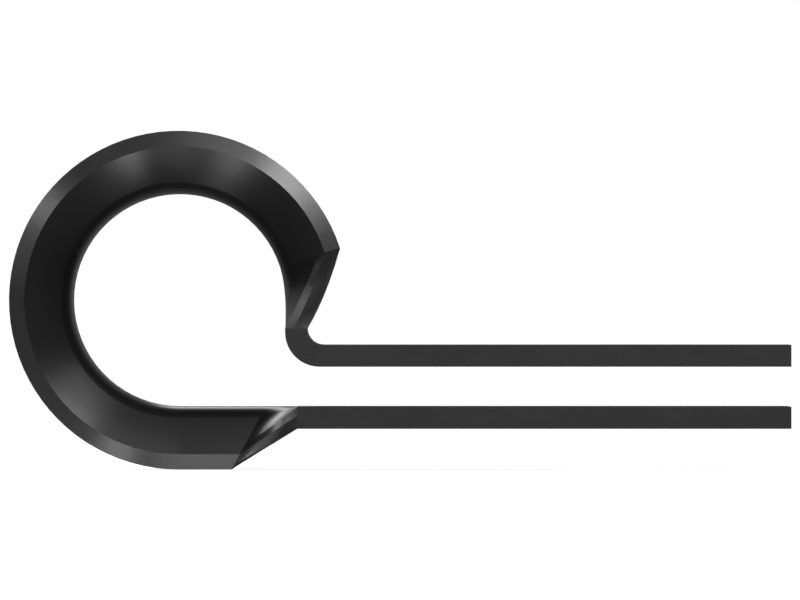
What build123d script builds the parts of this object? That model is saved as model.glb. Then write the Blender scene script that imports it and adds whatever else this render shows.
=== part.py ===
from build123d import *
import os
from itertools import accumulate, pairwise
from math import cos, radians, sin, tan

# Loop clamp: one plastic strap that forms a ring with flared edges, a neck and two flat legs.
# The origin is the bore's centre at mid width. X points towards the leg ends, Y runs along the
# bore and Z points from the lower leg to the upper one. Lengths in millimetres, angles in degrees.

# Strap
bore_diameter = 9.525
strap_thickness = 0.98
strap_width = 12.7

# Flare along both edges of the ring, with the bend radius of the strap's outside face
flare_angle = 45
flare_length = 2.28
flare_bend_radius = 0.72

# Upper end of the flare, measured round the bore from the legs' direction
upper_flare_end_angle = 18

# Lower end of the flare: how far past the bore's centre it reaches at the bore wall, its slant
# against the leg, and the length over which the strap then goes flat
lower_flare_end = 3.89
lower_flare_slant = 61.5
lower_run_out_length = 1.42

# Legs and the neck above the upper one, where the bore side stays straight a little further
# down than the outside before both bend towards the leg
leg_gap = 1.79
leg_reach = 27.36
neck_outside_bend_radius = 0.73
neck_bore_side_straight = 0.17

# Screw hole through both legs
hole_diameter = 5.2
hole_end_distance = 6.35

bore_radius = bore_diameter / 2
outer_radius = bore_radius + strap_thickness
half_width = strap_width / 2

bore_side_bend_radius = flare_bend_radius + strap_thickness
flare_reach = flare_length * cos(radians(flare_angle))
bend_reach = bore_side_bend_radius * sin(radians(flare_angle))
bend_start = half_width - flare_reach - bend_reach
half_bend_tangent = tan(radians(flare_angle / 2))

lower_leg_top = -bore_radius
upper_leg_bottom = lower_leg_top + leg_gap
upper_leg_top = upper_leg_bottom + strap_thickness
neck_top = upper_leg_top + neck_outside_bend_radius
neck_bore_side_bend_radius = neck_outside_bend_radius + strap_thickness - neck_bore_side_straight
lower_leg_start = lower_flare_end + lower_run_out_length


# Plane through the bore's axis, with its X outwards at the angle and its Y along the bore
def radial_plane(angle):
    outwards = (cos(radians(angle)), 0, sin(radians(angle)))
    onwards = (-sin(radians(angle)), 0, cos(radians(angle)))
    return Plane(origin=(0, 0, 0), x_dir=outwards, z_dir=onwards)


# The ring runs from the upper flare end round to the bottom, where the lower leg is tangent to it
bottom_angle = 270
upper_plane = radial_plane(upper_flare_end_angle)
level_plane = radial_plane(0)
bottom_plane = radial_plane(bottom_angle)
neck_plane = Plane(origin=(0, 0, neck_top), x_dir=(1, 0, 0), z_dir=(0, 0, 1))
lower_leg_plane = bottom_plane.offset(lower_leg_start)
slant_cosine = cos(radians(lower_flare_slant))
slant_sine = sin(radians(lower_flare_slant))
slanted_plane = Plane(
    origin=(lower_flare_end + bore_radius * slant_cosine / slant_sine, 0, 0),
    x_dir=(-slant_cosine, 0, -slant_sine),
    z_dir=(slant_sine, 0, -slant_cosine),
)

# Half of the flared section, from mid width on the bore side round the rim to mid width outside
with BuildLine() as flared_half:
    bore_wall = Line((bore_radius, 0), (bore_radius, bend_start))
    bore_bend = JernArc(bore_wall @ 1, bore_wall % 1, bore_side_bend_radius, -flare_angle)
    bore_flare = PolarLine(bore_bend @ 1, flare_length, 90 - flare_angle)
    rim = PolarLine(bore_flare @ 1, strap_thickness, -flare_angle)
    outer_flare = PolarLine(rim @ 1, -flare_length, 90 - flare_angle)
    outer_bend = JernArc(outer_flare @ 1, outer_flare % 1, flare_bend_radius, flare_angle)
    outer_wall = Line(outer_bend @ 1, (outer_radius, 0))

# Half of the flat section, the same way round
with BuildLine() as flat_half:
    flat_bore_side = Line((bore_radius, 0), (bore_radius, half_width))
    flat_edge = Line(flat_bore_side @ 1, (outer_radius, half_width))
    flat_outside = Line(flat_edge @ 1, (outer_radius, 0))


# Corners of a half section, each as a share of its length
def corner_shares(edges):
    ends = list(accumulate(edge.length for edge in edges))
    return [end / ends[-1] for end in ends[:-1]]


flared_edges = [bore_wall, bore_bend, bore_flare, rim, outer_flare, outer_bend, outer_wall]
flared_corners = corner_shares(flared_edges)
flat_corners = corner_shares([flat_bore_side, flat_edge, flat_outside])
all_corners = sorted(flared_corners + flat_corners)

# Where the straight lines beside each bend would meet, by the corner at which the bend starts
bore_bend_corner, outer_bend_corner = flared_corners[0], flared_corners[4]
bend_peaks = {
    bore_bend_corner: bore_wall @ 1 + (bore_wall % 1) * bore_side_bend_radius * half_bend_tangent,
    outer_bend_corner: outer_flare @ 1 + (outer_flare % 1) * flare_bend_radius * half_bend_tangent,
}


# Strap section between flared (run_out 0) and flat (run_out 1), with the corners of both. Each
# point goes straight from its place in the flared section to the place at the same share of the
# flat one. On a slanted plane, stretch lengthens the section outwards.
def run_out_section(plane, run_out, stretch=1):
    def placed(flared, flat):
        point = flared + (flat - flared) * run_out
        return Vector(point.X * stretch, point.Y)

    half = []
    for start, end in pairwise(all_corners):
        flat_start = flat_half.line @ start
        flat_end = flat_half.line @ end
        first = placed(flared_half.line @ start, flat_start)
        last = placed(flared_half.line @ end, flat_end)
        if start in bend_peaks:
            peak = placed(bend_peaks[start], (flat_start + flat_end) / 2)
            half.append(Bezier(first, peak, last, weights=[1, cos(radians(flare_angle / 2)), 1]))
        else:
            half.append(Line(first, last))
    other_half = [edge.mirror(Plane.XZ) for edge in half]
    walls = [Line(half[0] @ 0, other_half[0] @ 0), Line(half[-1] @ 1, other_half[-1] @ 1)]
    return plane * Face(Wire(half + other_half + walls))


# Flared section as a sketch on a plane
def flared_sketch(plane):
    with BuildSketch(plane) as section:
        with BuildLine():
            add(flared_half.line)
            mirror(about=Plane.XZ)
        make_face()
    return section.sketch


# Straight stretch of the ring's section under the bore, cut at a slant
with BuildPart() as flared_stretch:
    extrude(flared_sketch(bottom_plane), amount=lower_leg_start)
    split(bisect_by=slanted_plane, keep=Keep.BOTTOM)

# At the level of the bore's centre the flare has run out as far as the rim has come down
rim_height = (rim @ 1).X * sin(radians(upper_flare_end_angle))
level_run_out = rim_height / (rim_height - neck_top)

with BuildPart() as loop_clamp:
    # Ring
    revolve(flared_sketch(upper_plane), axis=-Axis.Y, revolution_arc=bottom_angle - upper_flare_end_angle)
    add(flared_stretch.part)

    # Run-out of the flare down to the neck
    upper_sections = [
        run_out_section(upper_plane, 0),
        run_out_section(level_plane, level_run_out),
        run_out_section(neck_plane, 1),
    ]
    loft(upper_sections)

    # Run-out of the flare along to the lower leg
    lower_sections = [
        run_out_section(slanted_plane, 0, stretch=1 / slant_sine),
        run_out_section(lower_leg_plane, 1),
    ]
    loft(lower_sections, ruled=True)

    # Neck and upper leg
    with BuildSketch(Plane.XZ):
        with BuildLine():
            outside_bend = JernArc((outer_radius, neck_top), (0, -1), neck_outside_bend_radius, 90)
            leg_top = Line(outside_bend @ 1, (leg_reach, upper_leg_top))
            leg_end = Line(leg_top @ 1, (leg_reach, upper_leg_bottom))
            leg_bottom = Line(leg_end @ 1, (bore_radius + neck_bore_side_bend_radius, upper_leg_bottom))
            bore_side_bend = JernArc(leg_bottom @ 1, (-1, 0), neck_bore_side_bend_radius, -90)
            Polyline(bore_side_bend @ 1, (bore_radius, neck_top), (outer_radius, neck_top))
        make_face()
    extrude(amount=half_width, both=True)

    # Lower leg
    with BuildSketch(Plane.XZ):
        with Locations((lower_leg_start, lower_leg_top)):
            Rectangle(leg_reach - lower_leg_start, strap_thickness, align=(Align.MIN, Align.MAX))
    extrude(amount=half_width, both=True)

    # Screw hole through both legs
    with Locations((leg_reach - hole_end_distance, 0, upper_leg_top)):
        Hole(hole_diameter / 2)

loop_clamp.part.label = "loop_clamp"
os.makedirs("parts", exist_ok=True)
export_step(loop_clamp.part, "parts/loop_clamp.step")
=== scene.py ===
import bpy
import bmesh
from math import cos, pi, radians, sin
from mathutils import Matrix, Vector


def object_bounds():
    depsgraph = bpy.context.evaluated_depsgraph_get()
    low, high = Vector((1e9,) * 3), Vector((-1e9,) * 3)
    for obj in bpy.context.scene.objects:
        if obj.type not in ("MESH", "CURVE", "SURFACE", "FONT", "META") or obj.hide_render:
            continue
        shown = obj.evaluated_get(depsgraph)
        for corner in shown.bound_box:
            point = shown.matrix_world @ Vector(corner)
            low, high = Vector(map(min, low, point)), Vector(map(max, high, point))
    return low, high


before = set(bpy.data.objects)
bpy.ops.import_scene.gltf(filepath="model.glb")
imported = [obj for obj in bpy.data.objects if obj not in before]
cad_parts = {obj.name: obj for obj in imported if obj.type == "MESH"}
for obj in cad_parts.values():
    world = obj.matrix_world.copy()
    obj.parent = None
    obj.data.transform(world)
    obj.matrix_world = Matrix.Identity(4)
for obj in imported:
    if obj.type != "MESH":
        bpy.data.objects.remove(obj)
cadBox = [list(corner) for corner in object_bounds()]
mm = 0.001
white = (1, 1, 1, 1)
print("frame loaded:", ", ".join(sorted(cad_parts)))


# Strap: the clamp keeps its CAD form and gets satin black plastic, as it comes out of the mould

strapLook = {
    "node": "loop_clamp",
    "darkTone": (0.0075, 0.0075, 0.0077, 1),
    "lightTone": (0.0128, 0.0128, 0.0131, 1),
    "cloudSize": 2.4 * mm,         # slow change of tone and gloss where the melt flowed
    "cloudDetail": 3,
    "darkRoughness": 0.26,
    "lightRoughness": 0.34,
    "grainSize": 0.11 * mm,        # fine texture of the mould's wall
    "grainDetail": 2,
    "grainDepth": 0.003 * mm,
}


def makeNoise(nodes, size, detail):
    noise = nodes.new("ShaderNodeTexNoise")
    noise.inputs["Scale"].default_value = 1 / size
    noise.inputs["Detail"].default_value = detail
    return noise


def makeBlackPlastic():
    material = bpy.data.materials.new("black_plastic")
    material.use_nodes = True
    nodes = material.node_tree.nodes
    links = material.node_tree.links
    shader = nodes["Principled BSDF"]
    place = nodes.new("ShaderNodeTexCoord")

    clouds = makeNoise(nodes, strapLook["cloudSize"], strapLook["cloudDetail"])
    links.new(place.outputs["Object"], clouds.inputs["Vector"])

    tone = nodes.new("ShaderNodeMix")
    tone.data_type = "RGBA"
    tone.inputs["A"].default_value = strapLook["darkTone"]
    tone.inputs["B"].default_value = strapLook["lightTone"]
    links.new(clouds.outputs["Fac"], tone.inputs["Factor"])
    links.new(tone.outputs["Result"], shader.inputs["Base Color"])

    gloss = nodes.new("ShaderNodeMapRange")
    gloss.inputs["To Min"].default_value = strapLook["darkRoughness"]
    gloss.inputs["To Max"].default_value = strapLook["lightRoughness"]
    links.new(clouds.outputs["Fac"], gloss.inputs["Value"])
    links.new(gloss.outputs["Result"], shader.inputs["Roughness"])

    grain = makeNoise(nodes, strapLook["grainSize"], strapLook["grainDetail"])
    links.new(place.outputs["Object"], grain.inputs["Vector"])

    relief = nodes.new("ShaderNodeBump")
    relief.inputs["Distance"].default_value = strapLook["grainDepth"]
    links.new(grain.outputs["Fac"], relief.inputs["Height"])
    links.new(relief.outputs["Normal"], shader.inputs["Normal"])
    return material


def finishStrap():
    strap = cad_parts[strapLook["node"]]
    strap.data.materials.clear()
    strap.data.materials.append(makeBlackPlastic())


finishStrap()
print("strap finished")


# Floor: plain and pale, just under the flares that the clamp stands on

floorLook = {
    "side": 400 * mm,
    "gap": 0.01 * mm,              # between the floor and the flares
    "colour": (0.5, 0.5, 0.5, 1),
    "roughness": 0.6,
    "glow": 0.8,                   # keeps the shadow faint, as the photograph shows none
}


def makePaleFloor():
    material = bpy.data.materials.new("pale_floor")
    material.use_nodes = True
    shader = material.node_tree.nodes["Principled BSDF"]
    shader.inputs["Base Color"].default_value = floorLook["colour"]
    shader.inputs["Roughness"].default_value = floorLook["roughness"]
    shader.inputs["Emission Color"].default_value = white
    shader.inputs["Emission Strength"].default_value = floorLook["glow"]
    return material


def makeFloor():
    lowest = cadBox[0][2]
    bm = bmesh.new()
    bmesh.ops.create_grid(bm, x_segments=1, y_segments=1, size=floorLook["side"] / 2)
    bmesh.ops.translate(bm, verts=bm.verts, vec=(0, 0, lowest - floorLook["gap"]))
    mesh = bpy.data.meshes.new("floor")
    bm.to_mesh(mesh)
    bm.free()
    mesh.materials.append(makePaleFloor())

    floor = bpy.data.objects.new("floor", mesh)
    bpy.context.scene.collection.objects.link(floor)
    # The low lights shine through it, so it takes the clamp's shadow and changes no light on it
    floor.visible_diffuse = False
    floor.visible_glossy = False
    floor.visible_shadow = False


makeFloor()
print("floor made")


# Studio: soft boxes all round the clamp. Each stands at an angle round the bore, counted from the
# legs over the top, and so far forward of the bore's middle, towards the camera. Width goes round
# the bore and depth along it, all in degrees. Strength 1 lights a white wall to full white.

studio = {
    "distance": 500 * mm,
    "fill": 0.188,                 # light from all round
    "backdrop": 1.03,              # what the camera sees behind the clamp, just past full white
}
softBoxes = {
    "keyBack": {"round": 44, "forward": -18, "width": 22, "depth": 36, "strength": 1.0},
    "keySide": {"round": 47, "forward": 0, "width": 7, "depth": 16, "strength": 0.1},
    "keyFront": {"round": 44, "forward": 10, "width": 10, "depth": 22, "strength": 0.155},
    "topFront": {"round": 77, "forward": 14, "width": 47, "depth": 32, "strength": 0.218},
    "topBack": {"round": 95, "forward": -34, "width": 52, "depth": 6, "strength": 0.63},
    "behindTop": {"round": 113, "forward": -62, "width": 29, "depth": 14, "strength": 0.105},
    "frontLeft": {"round": 129, "forward": 44, "width": 31, "depth": 5, "strength": 0.27},
    "frontTop": {"round": 142, "forward": 68, "width": 60, "depth": 12, "strength": 0.279},
    "leftBack": {"round": 143, "forward": -14, "width": 52, "depth": 11, "strength": 0.195},
    "left": {"round": 158, "forward": 0, "width": 5, "depth": 30, "strength": 0.025},
    "lowLeft": {"round": 214, "forward": -22, "width": 5, "depth": 60, "strength": 0.274},
    "low": {"round": 249, "forward": 8, "width": 22, "depth": 10, "strength": 0.156},
    "lowRight": {"round": 269, "forward": 0, "width": 20, "depth": 13, "strength": 0.07},
    "lowRightFront": {"round": 289, "forward": 2, "width": 14, "depth": 7, "strength": 0.122},
    "frontLow": {"round": 306, "forward": 37, "width": 40, "depth": 60, "strength": 0.298},
}


def makeSoftBox(name, box):
    distance = studio["distance"]
    turn = radians(box["round"])
    lean = radians(box["forward"])
    towards = Vector((cos(turn) * cos(lean), -sin(lean), sin(turn) * cos(lean)))
    data = bpy.data.lights.new(name, "AREA")
    data.shape = "RECTANGLE"
    data.size = distance * radians(box["width"])
    data.size_y = distance * radians(box["depth"])
    data.energy = box["strength"] * (pi * distance) ** 2    # in watts, whatever the box's size
    light = bpy.data.objects.new(name, data)
    light.location = towards * distance
    light.rotation_euler = towards.to_track_quat("Z", "Y").to_euler()
    light.visible_camera = False
    bpy.context.scene.collection.objects.link(light)


def makeWorld():
    world = bpy.data.worlds.new("studio")
    bpy.context.scene.world = world
    world.use_nodes = True
    nodes = world.node_tree.nodes
    links = world.node_tree.links
    nodes.clear()
    path = nodes.new("ShaderNodeLightPath")
    mix = nodes.new("ShaderNodeMixShader")
    output = nodes.new("ShaderNodeOutputWorld")
    links.new(path.outputs["Is Camera Ray"], mix.inputs["Fac"])
    links.new(mix.outputs["Shader"], output.inputs["Surface"])
    # The mix shows its second shader to the camera, and its first to all else
    for slot, part in enumerate(("fill", "backdrop"), start=1):
        background = nodes.new("ShaderNodeBackground")
        background.inputs["Color"].default_value = white
        background.inputs["Strength"].default_value = studio[part]
        links.new(background.outputs["Background"], mix.inputs[slot])


for boxName, softBox in softBoxes.items():
    makeSoftBox(boxName, softBox)
makeWorld()
print("studio lit with", len(softBoxes), "soft boxes")


# Camera: far away along the bore, as in the photograph

cameraLook = {
    "distance": 1216 * mm,
    "across": 9.893 * mm,          # from the bore's centre towards the leg ends
    "up": 0.007 * mm,
    "tilt": 90,                    # in degrees, looking level
    "lens": 1220,
    "clipEnd": 10,
}


def makeCamera():
    data = bpy.data.cameras.new("camera")
    data.lens = cameraLook["lens"]
    data.clip_end = cameraLook["clipEnd"]
    camera = bpy.data.objects.new("camera", data)
    camera.location = (cameraLook["across"], -cameraLook["distance"], cameraLook["up"])
    camera.rotation_euler = (radians(cameraLook["tilt"]), 0, 0)
    bpy.context.scene.collection.objects.link(camera)
    bpy.context.scene.camera = camera
    bpy.context.scene.view_settings.view_transform = "Standard"


makeCamera()
print("camera set")
